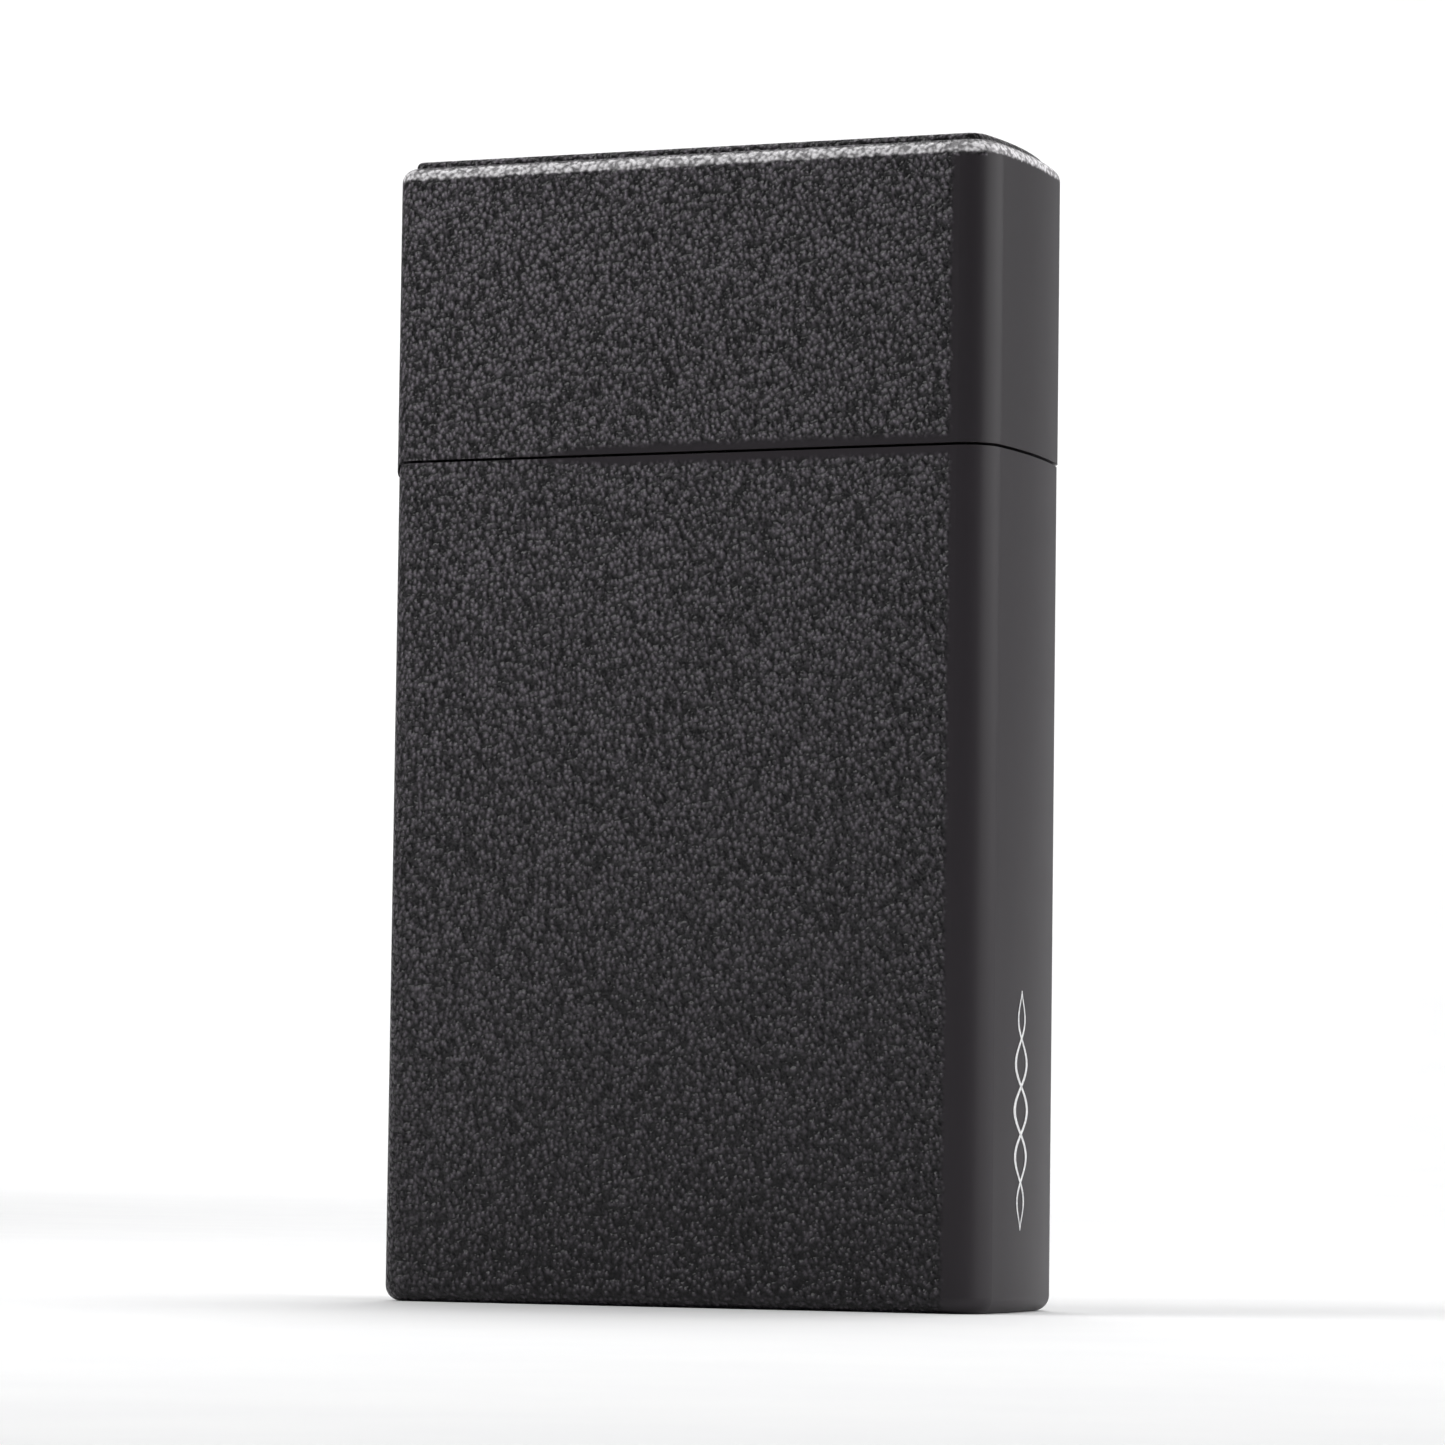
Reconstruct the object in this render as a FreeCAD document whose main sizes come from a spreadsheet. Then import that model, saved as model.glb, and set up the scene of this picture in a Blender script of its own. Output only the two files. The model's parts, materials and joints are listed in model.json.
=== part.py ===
"""Slim flip-top windproof lighter.

Frame: +Z up, origin at the middle of the flat base, millimetres. The broad faces look along Y
and the lid's hinge is on the narrow -X side.
"""
import FreeCAD, Part
import math
import os
import re
import Sketcher

V = FreeCAD.Vector

SIZES = {
    # Outside of the closed lighter
    "case_width": 37.05,
    "case_depth": 13.2,
    "full_height": 66.0,
    "side_bow": 0.6,
    "bowed_corner": 2.0,
    "hinge_corner": 1.5,
    "wall": 0.9,
    "floor": 1.2,
    "base_round": 0.9,
    "hole_clear": 0.1,
    "rim_z": 48.25,
    "lid_gap": 0.16,
    # Lid
    "lid_hinge_over": 0.12,
    "lid_side_over": 0.05,
    "lid_roof": 1.2,
    "lid_round": 0.8,
    "crown_inset": 0.85,
    "crown_rise": 0.42,
    "crown_round": 0.3,
    # Hinge
    "rim_round": 0.9,
    "knuckle_rad": 0.75,
    "pin_rad": 0.35,
    "pin_hole_rad": 0.38,
    "barrel_len": 6.4,
    "lid_knuckle_len": 3.2,
    "knuckle_gap": 0.06,
    "barrel_clear": 0.12,
    "web_drop": 0.5,
    "leaf_thick": 0.5,
    "case_leaf_in": 0.93,
    "lid_leaf_in": 1.0,
    "case_leaf_len": 6.0,
    "lid_leaf_len": 7.0,
    "heel_drop": 0.7,
    "heel_reach": 1.6,
    "snap_width": 2.4,
    "snap_len": 10.0,
    # Insert
    "insert_half_x_hinge": 17.4,
    "insert_half_x_side": 16.95,
    "insert_half_y": 5.5,
    "insert_corner": 1.0,
    "tank_z": 1.3,
    "tank_top": 19.4,
    "tank_wall": 1.0,
    "cap_top": 21.2,
    "frame_top": 46.2,
    "deck_top": 47.0,
    "cap_thick": 1.2,
    "bay_half_y": 4.2,
    "valve_bay_hinge_x": -10.4,
    "valve_bay_side_x": 3.4,
    "button_bay_hinge_x": 4.6,
    "button_bay_side_x": 14.6,
    "leg_slot_z": 33.0,
    "leaf_bay_x": -13.8,
    "leaf_bay_z": 40.4,
    "leaf_bay_half_y": 3.5,
    "snap_bay_x": -16.4,
    "snap_bay_z": 36.8,
    "snap_bay_half_y": 1.6,
    "leaf_notch_x": -15.4,
    # Burner and valve, one above the other
    "burner_x": -6.0,
    "nozzle_z": 41.6,
    "burner_base_z": 42.4,
    "burner_step": 45.2,
    "shroud_top": 52.4,
    "shroud_rad": 3.4,
    "shroud_wall": 0.4,
    "holder_z": 49.6,
    "holder_top": 50.6,
    "nozzle_rad": 1.6,
    "nozzle_rise": 0.8,
    "jet_rad": 0.15,
    "bracket_thick": 0.8,
    "press_clear": 0.02,
    "valve_z": 18.6,
    "valve_top": 34.4,
    "valve_rad": 2.4,
    "valve_bore": 1.5,
    "seat_z": 20.4,
    "stem_rad": 0.7,
    "stem_bore": 0.3,
    "stem_top": 40.2,
    "collar_z": 38.35,
    "collar_top": 39.0,
    # Valve lever
    "pivot_x": -2.6,
    "pivot_z": 38.15,
    "lever_left": 3.4,
    "lever_right": 7.0,
    "lever_tilt": 10.0,
    "lever_thick": 0.9,
    "lever_width": 2.6,
    "lever_hub_rad": 1.1,
    "lever_hub_len": 6.0,
    "lever_pin_rad": 0.5,
    "lever_pin_len": 9.6,
    # Button and spark unit
    "button_x": 9.2,
    "button_half_x": 4.5,
    "button_half_y": 3.2,
    "button_top": 52.4,
    "button_corner": 1.3,
    "button_clear": 0.15,
    "groove_pitch": 1.2,
    "groove_width": 0.4,
    "groove_half_y": 2.2,
    "groove_deep": 0.3,
    "flange_z": 43.15,
    "flange_top": 46.1,
    "flange_half_x": 5.2,
    "flange_half_y": 3.9,
    "leg_z": 40.05,
    "leg_width": 1.0,
    "piezo_x": 9.4,
    "piezo_half_x": 4.1,
    "piezo_half_y": 3.0,
    "piezo_z": 22.4,
    "piezo_top": 38.6,
    "piezo_wall": 0.6,
    "piezo_floor": 1.2,
    "plunger_z": 31.0,
    "plunger_top": 43.1,
    "plunger_wall": 0.8,
    "plunger_clear": 0.1,
    "terminal_z": 34.7,
    "terminal_height": 1.6,
    "hammer_z": 28.3,
    "hammer_height": 2.9,
    "hammer_half_x": 2.3,
    "hammer_half_y": 1.3,
    "crystal_rad": 1.3,
    "crystal_top": 28.2,
    # Spark electrode
    "electrode_x": -1.1,
    "insulator_z": 44.6,
    "insulator_top": 50.2,
    "insulator_rad": 0.9,
    "electrode_rad": 0.3,
    "lead_rad": 0.35,
    "lead_y": 3.62,
    "lead_drop": 1.6,
    "lead_z": 35.5,
    # Refilling and flame setting, through the base
    "fill_x": 7.0,
    "fill_rad": 2.5,
    "fill_bore": 1.7,
    "fill_mouth": 1.25,
    "fill_z": 0.35,
    "fill_top": 8.4,
    "setter_rad": 2.1,
    "setter_head": 1.3,
    "setter_z": 0.3,
    "setter_shank": 1.1,
    "setter_slot": 0.55,
    "regulator_z": 1.82,
    "regulator_top": 10.4,
    "regulator_seat": 7.4,
    "regulator_bore": 1.14,
    "gas_way_rad": 0.5,
    "filter_z": 6.3,
    "base_hole": 2.6,
    # Screws
    "base_screw_x": 15.0,
    "base_screw_rad": 0.78,
    "base_screw_len": 6.0,
    "base_head_rad": 1.5,
    "base_recess": 0.75,
    "boss_rad": 1.8,
    "boss_height": 6.4,
    "deck_screw_hinge_x": -12.2,
    "deck_screw_side_x": 15.75,
    "deck_screw_rad": 0.58,
    "deck_head_rad": 1.05,
    "cross_reach": 0.7,
    "cross_width": 0.26,
    "cross_deep": 0.35,
}

doc = FreeCAD.newDocument("Lighter")
sheet = doc.addObject("Spreadsheet::Sheet", "Sizes")
for row, (alias, size) in enumerate(SIZES.items(), 1):
    sheet.set(f"A{row}", alias)
    sheet.set(f"B{row}", str(size))
    sheet.setAlias(f"B{row}", alias)
doc.recompute()

# Relations used in several places
RELATIONS = {
    "half_x": "case_width / 2",
    "half_y": "case_depth / 2",
    "hinge_x": "-case_width / 2",
    "hinge_z": "rim_z - rim_round",
    "lid_z": "rim_z + lid_gap",
    "crown_z": "full_height - crown_rise",
    "flange_left": "button_x - flange_half_x",
}


def formula(text):
    """The text with relations written out and each size pointed at its cell."""

    def swap(match):
        word = match.group(0)
        if word in RELATIONS:
            return "(" + formula(RELATIONS[word]) + ")"
        return "Sizes." + word if word in SIZES else word

    return re.sub(r"[a-z_]+", swap, str(text))


def value(text):
    return float(sheet.evalExpression(formula(text)))


def bind(thing, prop, text):
    thing.setExpression(prop, formula(text))


def new_body(label, x="0", y="0", z="0"):
    body = doc.addObject("PartDesign::Body", label)
    body.Label = label
    body.Placement = FreeCAD.Placement(V(value(x), value(y), value(z)), FreeCAD.Rotation())
    for axis, text in zip("xyz", (x, y, z)):
        if text != "0":
            bind(body, f"Placement.Base.{axis}", text)
    return body


def origin_part(body, role):
    return [f for f in body.Origin.OriginFeatures if f.Role == role][0]


def new_sketch(body, plane="XY_Plane", level="0"):
    sketch = body.newObject("Sketcher::SketchObject", body.Label + "_sketch")
    sketch.AttachmentSupport = [(origin_part(body, plane), "")]
    sketch.MapMode = "FlatFace"
    if level != "0":
        bind(sketch, "AttachmentOffset.Base.z", level)
    return sketch


def fix_point(sketch, curve, end, x, y):
    for kind, text in (("DistanceX", x), ("DistanceY", y)):
        index = sketch.addConstraint(Sketcher.Constraint(kind, -1, 1, curve, end, value(text)))
        bind(sketch, f"Constraints[{index}]", text)


def fix_radius(sketch, curve, text):
    index = sketch.addConstraint(Sketcher.Constraint("Radius", curve, value(text)))
    bind(sketch, f"Constraints[{index}]", text)


def add_polygon(sketch, points):
    """A closed polygon with every corner set from the sheet."""
    first = sketch.GeometryCount
    count = len(points)
    corners = [V(value(x), value(y), 0) for x, y in points]
    for i in range(count):
        sketch.addGeometry(Part.LineSegment(corners[i], corners[(i + 1) % count]), False)
    for i in range(count):
        ends = (first + i, 2, first + (i + 1) % count, 1)
        sketch.addConstraint(Sketcher.Constraint("Coincident", *ends))
    for i, (x, y) in enumerate(points):
        fix_point(sketch, first + i, 1, x, y)


def add_circle(sketch, x, y, radius):
    circle = Part.Circle(V(value(x), value(y), 0), V(0, 0, 1), value(radius))
    index = sketch.addGeometry(circle, False)
    fix_point(sketch, index, 3, x, y)
    fix_radius(sketch, index, radius)


def polygon_sketch(body, points, plane="XY_Plane", level="0"):
    sketch = new_sketch(body, plane, level)
    add_polygon(sketch, points)
    return sketch


def circle_sketch(body, circles, plane="XY_Plane", level="0"):
    sketch = new_sketch(body, plane, level)
    for x, y, radius in circles:
        add_circle(sketch, x, y, radius)
    return sketch


def box_points(x0, x1, y0, y1):
    return [(x0, y0), (x1, y0), (x1, y1), (x0, y1)]


def extrude(body, kind, sketch, length, side="One side", back=False):
    """A pad or a pocket of the sketch, refused if it leaves the volume as it was."""
    before = body.Shape.Volume if body.Tip else 0.0
    feature = body.newObject("PartDesign::" + kind, f"{body.Label}_{kind}")
    feature.Profile = sketch
    feature.SideType = side
    feature.Reversed = back
    bind(feature, "Length", length)
    doc.recompute()
    if abs(body.Shape.Volume - before) < 1e-6:
        raise ValueError(f"{feature.Label} changes nothing")
    return feature


def pad(body, sketch, length, **how):
    return extrude(body, "Pad", sketch, length, **how)


def pocket(body, sketch, length, **how):
    return extrude(body, "Pocket", sketch, length, **how)


def block(label, x0, x1, y0, y1, z0, length):
    body = new_body(label)
    pad(body, polygon_sketch(body, box_points(x0, x1, y0, y1), level=z0), length)
    return body


def edges_where(body, test):
    """Names of the body's edges whose middle and direction pass the test."""
    names = []
    for i, edge in enumerate(body.Shape.Edges, 1):
        middle = edge.valueAt((edge.FirstParameter + edge.LastParameter) / 2)
        if test(middle, edge):
            names.append(f"Edge{i}")
    return names


def upright(edge):
    ends = [v.Point for v in edge.Vertexes]
    return len(ends) == 2 and abs(ends[0].x - ends[1].x) < 1e-6 and abs(ends[0].y - ends[1].y) < 1e-6


def dress(body, radius, test):
    """Round the edges that pass the test, refused if it can't be made."""
    names = edges_where(body, test)
    if not names:
        raise ValueError(f"no edge to dress on {body.Label}")
    base = body.Tip
    feature = body.newObject("PartDesign::Fillet", body.Label + "_Fillet")
    feature.Base = (base, names)
    feature.Radius = value(radius)
    bind(feature, "Radius", radius)
    doc.recompute()
    if "Invalid" in feature.State:
        raise ValueError(f"{feature.Label} fails on {names}")


def turned(label, profile, x="0"):
    """A body of revolution about an upright axis, from (radius, height) points."""
    body = new_body(label, x)
    sketch = polygon_sketch(body, profile, "XZ_Plane")
    spin = body.newObject("PartDesign::Revolution", label + "_Revolution")
    spin.Profile = sketch
    spin.ReferenceAxis = (sketch, ["V_Axis"])
    spin.Angle = 360.0
    doc.recompute()
    return body


def ring_points(inner, outer, z0, z1):
    return [(inner, z0), (outer, z0), (outer, z1), (inner, z1)]


def coil(label, radius, wire, pitch, z0, height, x="0"):
    """A wound wire spring about an upright axis."""
    body = new_body(label, x)
    section = circle_sketch(body, [(radius, z0, wire)], "XZ_Plane")
    winding = body.newObject("PartDesign::AdditiveHelix", label + "_Helix")
    winding.Profile = section
    winding.ReferenceAxis = (section, ["V_Axis"])
    winding.Mode = "pitch-height-angle"
    winding.Pitch = value(pitch)
    winding.Height = value(height)
    bind(winding, "Pitch", pitch)
    bind(winding, "Height", height)
    doc.recompute()
    return body


def bent_wire(label, points, bend, radius):
    """A round wire along straight runs that are joined by tangent arcs."""
    path = [V(*[value(c) for c in point]) for point in points]
    pieces = []
    start = path[0]
    for before, corner, after in zip(path, path[1:], path[2:]):
        into = (corner - before).normalize()
        out = (after - corner).normalize()
        turn = into.getAngle(out)
        cut = bend * math.tan(turn / 2)
        arc_start = corner - into * cut
        arc_end = corner + out * cut
        middle_way = (out - into).normalize()
        centre = corner + middle_way * (bend / math.cos(turn / 2))
        pieces.append(Part.makeLine(start, arc_start))
        pieces.append(Part.Arc(arc_start, centre - middle_way * bend, arc_end).toShape())
        start = arc_end
    pieces.append(Part.makeLine(start, path[-1]))
    spine = Part.Wire(pieces)
    way = (path[1] - path[0]).normalize()
    section = Part.Wire([Part.makeCircle(radius, path[0], way)])
    solid = spine.makePipeShell([section], True, False)
    expected = math.pi * radius**2 * spine.Length
    if abs(solid.Volume / expected - 1) > 0.01:
        raise ValueError(f"{label} isn't a whole wire")
    wire = doc.addObject("Part::Feature", label)
    wire.Label = label
    wire.Shape = solid
    wire.Placement = FreeCAD.Placement()
    return wire


def outline(body, left, right, half_y, bow, level):
    """The plan of the case: three straight sides, and one narrow side that bows outwards."""
    sketch = new_sketch(body, "XY_Plane", level)
    x0, x1, y1, sag = value(left), value(right), value(half_y), value(bow)
    a, b = V(x0, -y1, 0), V(x1 - sag, -y1, 0)
    c, d = V(x1 - sag, y1, 0), V(x0, y1, 0)
    sketch.addGeometry(Part.LineSegment(a, b), False)
    sketch.addGeometry(Part.Arc(b, V(x1, 0, 0), c), False)
    sketch.addGeometry(Part.LineSegment(c, d), False)
    sketch.addGeometry(Part.LineSegment(d, a), False)
    for joined in ((0, 2, 1, 1), (1, 2, 2, 1), (2, 2, 3, 1), (3, 2, 0, 1)):
        sketch.addConstraint(Sketcher.Constraint("Coincident", *joined))
    fix_point(sketch, 0, 1, left, f"-({half_y})")
    fix_point(sketch, 2, 1, f"{right} - ({bow})", half_y)
    fix_point(sketch, 0, 2, f"{right} - ({bow})", f"-({half_y})")
    fix_point(sketch, 3, 1, left, half_y)
    fix_radius(sketch, 1, f"(({bow}) ^ 2 + ({half_y}) ^ 2) / (2 * ({bow}))")
    return sketch


def round_corners(body, hinge_radius, side_radius, low, high, inset):
    """Round the upright corners between two heights, on the outside or on the inside."""
    y_limit = value("half_y") - value(inset) - 0.05
    for sign, radius in ((-1, hinge_radius), (1, side_radius)):

        def corner(middle, edge):
            inside = value(low) < middle.z < value(high)
            near = abs(middle.y) > y_limit and abs(middle.y) < y_limit + 0.1
            return upright(edge) and inside and near and middle.x * sign > value("half_x") / 2

        dress(body, radius, corner)


# Case shell
case = new_body("case_shell")
pad(case, outline(case, "-half_x", "half_x", "half_y", "side_bow", "0"), "rim_z")
round_corners(case, "hinge_corner", "bowed_corner", "1", "rim_z", "0")
dress(case, "base_round", lambda m, e: abs(m.z) < 1e-6)
hollow = outline(case, "-half_x + wall", "half_x - wall", "half_y - wall", "side_bow", "rim_z")
pocket(case, hollow, "rim_z - floor")
round_corners(case, "hinge_corner - wall", "bowed_corner - wall", "floor", "rim_z", "wall")
base_holes = [
    ("burner_x", "0", "base_hole"),
    ("fill_x", "0", "fill_rad + hole_clear"),
    ("-base_screw_x", "0", "base_screw_rad + hole_clear"),
    ("base_screw_x", "0", "base_screw_rad + hole_clear"),
]
pocket(case, circle_sketch(case, base_holes), "floor + 0.5", back=True)
recess_rad = "base_head_rad + hole_clear"
recesses = [("-base_screw_x", "0", recess_rad), ("base_screw_x", "0", recess_rad)]
pocket(case, circle_sketch(case, recesses), "base_recess", back=True)


def quarter_cut(body, length):
    """Round the hinge-side rim with a quarter cylinder along Y."""
    sketch = new_sketch(body, "XZ_Plane")
    outside = [
        ("hinge_x", "hinge_z"),
        ("hinge_x - 2", "hinge_z"),
        ("hinge_x - 2", "rim_z + 1"),
        ("hinge_x + rim_round", "rim_z + 1"),
        ("hinge_x + rim_round", "rim_z"),
    ]
    low = V(value("hinge_x"), value("hinge_z"), 0)
    high = V(value("hinge_x + rim_round"), value("rim_z"), 0)
    swing = value("rim_round") * math.sqrt(0.5)
    sketch.addGeometry(Part.Arc(high, V(high.x - swing, low.y + swing, 0), low), False)
    ends = [V(value(x), value(z), 0) for x, z in outside]
    for a, b in zip(ends, ends[1:]):
        sketch.addGeometry(Part.LineSegment(a, b), False)
    for i in range(len(outside) - 1):
        sketch.addConstraint(Sketcher.Constraint("Coincident", i, 2, i + 1, 1))
    sketch.addConstraint(Sketcher.Constraint("Coincident", 4, 2, 0, 1))
    for i, (x, z) in enumerate(outside[:4], 1):
        fix_point(sketch, i, 1, x, z)
    fix_point(sketch, 4, 2, *outside[4])
    fix_radius(sketch, 0, "rim_round")
    pocket(body, sketch, length, side="Symmetric")


def along_y(body, kind, points, length):
    """Pad or pocket a polygon drawn in the XZ plane, equally to both sides."""
    return extrude(body, kind, polygon_sketch(body, points, "XZ_Plane"), length, side="Symmetric")


def round_along_y(body, kind, x, z, radius, length):
    sketch = circle_sketch(body, [(x, z, radius)], "XZ_Plane")
    return extrude(body, kind, sketch, length, side="Symmetric")


def from_hinge(points):
    """Points given from the hinge axis, as sheet formulas."""
    return [(f"hinge_x + ({x})", f"hinge_z + ({z})") for x, z in points]


# The hinge-side rim, and the channel in the wall for the hinge barrel and its webs
quarter_cut(case, "case_depth + 2")
barrel_room = "barrel_len + 2 * barrel_clear"
round_along_y(case, "Pocket", "hinge_x", "hinge_z", "knuckle_rad + barrel_clear", barrel_room)
notch = box_points("hinge_x - 1", "hinge_x + wall + 0.3", "hinge_z - web_drop - 0.1", "rim_z + 1")
along_y(case, "Pocket", notch, barrel_room)

# Lid shell: the same plan, with a rounded edge and a raised crown on the roof
lid = new_body("lid_shell")
lid_left = "-half_x - lid_hinge_over"
lid_right = "half_x + lid_side_over"
pad(lid, outline(lid, lid_left, lid_right, "half_y", "side_bow", "hinge_z"), "crown_z - hinge_z")
round_corners(lid, "hinge_corner", "bowed_corner", "hinge_z", "crown_z", "0")
crown_left, crown_right = lid_left + " + crown_inset", lid_right + " - crown_inset"
crown = outline(lid, crown_left, crown_right, "half_y - crown_inset", "side_bow", "crown_z - 0.3")
pad(lid, crown, "crown_rise + 0.3")
crown_corners = ("hinge_corner - crown_inset", "bowed_corner - crown_inset")
round_corners(lid, *crown_corners, "crown_z", "full_height", "crown_inset")


def on_roof_edge(middle, edge):
    """On the outer edge of the roof, and not on the foot of the crown."""
    band = value("crown_inset") - 0.05
    x0, x1 = value(lid_left) + band, value(lid_right) - band
    outer = abs(middle.y) > value("half_y") - band or not x0 < middle.x < x1
    return outer and abs(middle.z - value("crown_z")) < 1e-6


dress(lid, "lid_round", on_roof_edge)
dress(lid, "crown_round", lambda m, e: abs(m.z - value("full_height")) < 1e-6)
lid_hollow = outline(lid, "-half_x + wall", "half_x - wall", "half_y - wall", "side_bow", "hinge_z")
pocket(lid, lid_hollow, "full_height - lid_roof - hinge_z", back=True)
round_corners(lid, "hinge_corner - wall", "bowed_corner - wall", "hinge_z", "crown_z", "wall")
below = box_points("hinge_x + rim_round", "half_x + 2", "hinge_z - 1", "lid_z")
along_y(lid, "Pocket", below, "case_depth + 2")
round_along_y(lid, "Pocket", "hinge_x + rim_round", "hinge_z", "rim_round + lid_gap", "case_depth + 2")
round_along_y(lid, "Pocket", "hinge_x", "hinge_z", "knuckle_rad + barrel_clear", barrel_room)

# Hinge: two case knuckles with the lid's knuckle between them, on one pin
case_leaf = new_body("case_hinge_leaf")
leaf_in, leaf_out = "case_leaf_in", "case_leaf_in + leaf_thick"
leaf_plate = box_points(leaf_in, leaf_out, "-case_leaf_len", "-0.05")
along_y(case_leaf, "Pad", from_hinge(leaf_plate), "barrel_len")
web = box_points("0", leaf_out, "-web_drop", "-0.05")
along_y(case_leaf, "Pad", from_hinge(web), "barrel_len")
round_along_y(case_leaf, "Pad", "hinge_x", "hinge_z", "knuckle_rad", "barrel_len")
gap = box_points("-1.5", "2.5", "-1", "1")
along_y(case_leaf, "Pocket", from_hinge(gap), "lid_knuckle_len + 2 * knuckle_gap")
round_along_y(case_leaf, "Pocket", "hinge_x", "hinge_z", "pin_rad + 0.01", "barrel_len + 1")

lid_leaf = new_body("lid_hinge_leaf")
leaf_in, leaf_out = "lid_leaf_in", "lid_leaf_in + leaf_thick"
leaf_plate = box_points(leaf_in, leaf_out, "0.05", "lid_leaf_len")
along_y(lid_leaf, "Pad", from_hinge(leaf_plate), "barrel_len - 0.4")
heel = [
    ("0", "-0.4"),
    ("lid_leaf_in", "-0.4"),
    ("lid_leaf_in", "-heel_drop"),
    ("heel_reach - 0.3", "-heel_drop"),
    ("heel_reach", "-0.3"),
    ("heel_reach", "0.2"),
    (leaf_out, "0.4"),
    ("0", "0.4"),
]
along_y(lid_leaf, "Pad", from_hinge(heel), "lid_knuckle_len")
round_along_y(lid_leaf, "Pad", "hinge_x", "hinge_z", "knuckle_rad", "lid_knuckle_len")
round_along_y(lid_leaf, "Pocket", "hinge_x", "hinge_z", "pin_hole_rad", "barrel_len + 1")

hinge_pin = new_body("hinge_pin")
round_along_y(hinge_pin, "Pad", "hinge_x", "hinge_z", "pin_rad", "barrel_len - 0.1")

# Leaf spring that leans on the lid's heel and holds the lid shut
snap = new_body("snap_spring")
strip = [
    ("heel_reach + 0.75", "-snap_len"),
    ("heel_reach + 0.95", "-snap_len"),
    ("heel_reach + 0.95", "-2.5"),
    ("heel_reach + 0.3", "-0.6"),
    ("heel_reach + 0.75", "-0.25"),
    ("heel_reach + 0.6", "-0.1"),
    ("heel_reach + 0.04", "-0.55"),
    ("heel_reach + 0.75", "-2.6"),
]
along_y(snap, "Pad", from_hinge(strip), "snap_width")


def insert_block(label, z0, z1):
    """A full-plan block of the insert, with rounded upright corners."""
    left, right = "-insert_half_x_hinge", "insert_half_x_side"
    body = block(label, left, right, "-insert_half_y", "insert_half_y", z0, f"{z1} - ({z0})")
    dress(body, "insert_corner", lambda m, e: upright(e))
    return body


# Fuel tank with two screw bosses, and its welded cap
tank = insert_block("fuel_tank", "tank_z", "tank_top")
tank_room = box_points(
    "-insert_half_x_hinge + tank_wall",
    "insert_half_x_side - tank_wall",
    "-insert_half_y + tank_wall",
    "insert_half_y - tank_wall",
)
pocket(tank, polygon_sketch(tank, tank_room, level="tank_top"), "tank_top - tank_z - 1.4")
for side in ("-", ""):
    boss = circle_sketch(tank, [(side + "base_screw_x", "0", "boss_rad")], level="tank_z + 1")
    pad(tank, boss, "boss_height")
thread_rad = "base_screw_rad + press_clear"
screw_room = [("-base_screw_x", "0", thread_rad), ("base_screw_x", "0", thread_rad)]
pocket(tank, circle_sketch(tank, screw_room, level="tank_z"), "base_screw_len", back=True)
valve_room = [("burner_x", "0", "valve_rad + press_clear"), ("fill_x", "0", "fill_rad + press_clear")]
pocket(tank, circle_sketch(tank, valve_room, level="tank_z"), "2", back=True)

cap = insert_block("tank_cap", "tank_top", "cap_top")
valve_hole = [("burner_x", "0", "valve_rad + press_clear")]
pocket(cap, circle_sketch(cap, valve_hole, level="cap_top"), "3")

# Frame of the insert: bays for the hinge leaves, the valve and the spark unit
frame = insert_block("insert_frame", "cap_top", "frame_top")
bay_floor = "cap_top + cap_thick"


def bay(x0, x1, half_y, z0):
    sketch = polygon_sketch(frame, box_points(x0, x1, f"-({half_y})", half_y), level="frame_top")
    pocket(frame, sketch, f"frame_top - ({z0})")


bay("-insert_half_x_hinge - 1", "leaf_bay_x", "leaf_bay_half_y", "leaf_bay_z")
bay("snap_bay_x", "leaf_bay_x", "snap_bay_half_y", "snap_bay_z")
bay("valve_bay_hinge_x", "valve_bay_side_x", "bay_half_y", bay_floor)
bay("button_bay_hinge_x", "button_bay_side_x", "bay_half_y", bay_floor)
bay("valve_bay_side_x - 0.1", "button_bay_hinge_x + 0.1", "bay_half_y", "leg_slot_z")
pocket(frame, circle_sketch(frame, valve_hole, level="cap_top"), "2", back=True)
thread_rad = "deck_screw_rad + press_clear"
deck_screw_room = [("deck_screw_hinge_x", "0", thread_rad), ("deck_screw_side_x", "0", thread_rad)]
pocket(frame, circle_sketch(frame, deck_screw_room, level="frame_top"), "5")
round_along_y(frame, "Pocket", "pivot_x", "pivot_z", "lever_pin_rad + 0.01", "lever_pin_len + 0.2")

# Deck that closes the insert just below the case rim
deck = insert_block("deck_plate", "frame_top", "deck_top")
deck_holes = [
    ("burner_x", "0", "shroud_rad + 0.15"),
    ("electrode_x", "0", "insulator_rad + 0.05"),
    ("deck_screw_hinge_x", "0", "deck_screw_rad + 0.07"),
    ("deck_screw_side_x", "0", "deck_screw_rad + 0.07"),
]
pocket(deck, circle_sketch(deck, deck_holes, level="deck_top"), "2")
button_hole = box_points(
    "button_x - button_half_x - button_clear",
    "button_x + button_half_x + button_clear",
    "-button_half_y - button_clear",
    "button_half_y + button_clear",
)
pocket(deck, polygon_sketch(deck, button_hole, level="deck_top"), "2")
dress(deck, "button_corner + hole_clear", lambda m, e: upright(e) and 4 < m.x < 14.5 and abs(m.y) < 4)
leaf_notch = box_points("-insert_half_x_hinge - 1", "leaf_notch_x", "-leaf_bay_half_y", "leaf_bay_half_y")
pocket(deck, polygon_sketch(deck, leaf_notch, level="deck_top"), "2")


def cross_screw(label, profile, x, face, from_below):
    """A turned screw with a cross recess in its face."""
    screw = turned(label, profile, x=x)
    long, short = "cross_reach", "cross_width / 2"
    for half_x, half_y in ((long, short), (short, long)):
        arm = box_points(f"-({half_x})", half_x, f"-({half_y})", half_y)
        pocket(screw, polygon_sketch(screw, arm, level=face), "cross_deep", back=from_below)
    return screw


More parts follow.
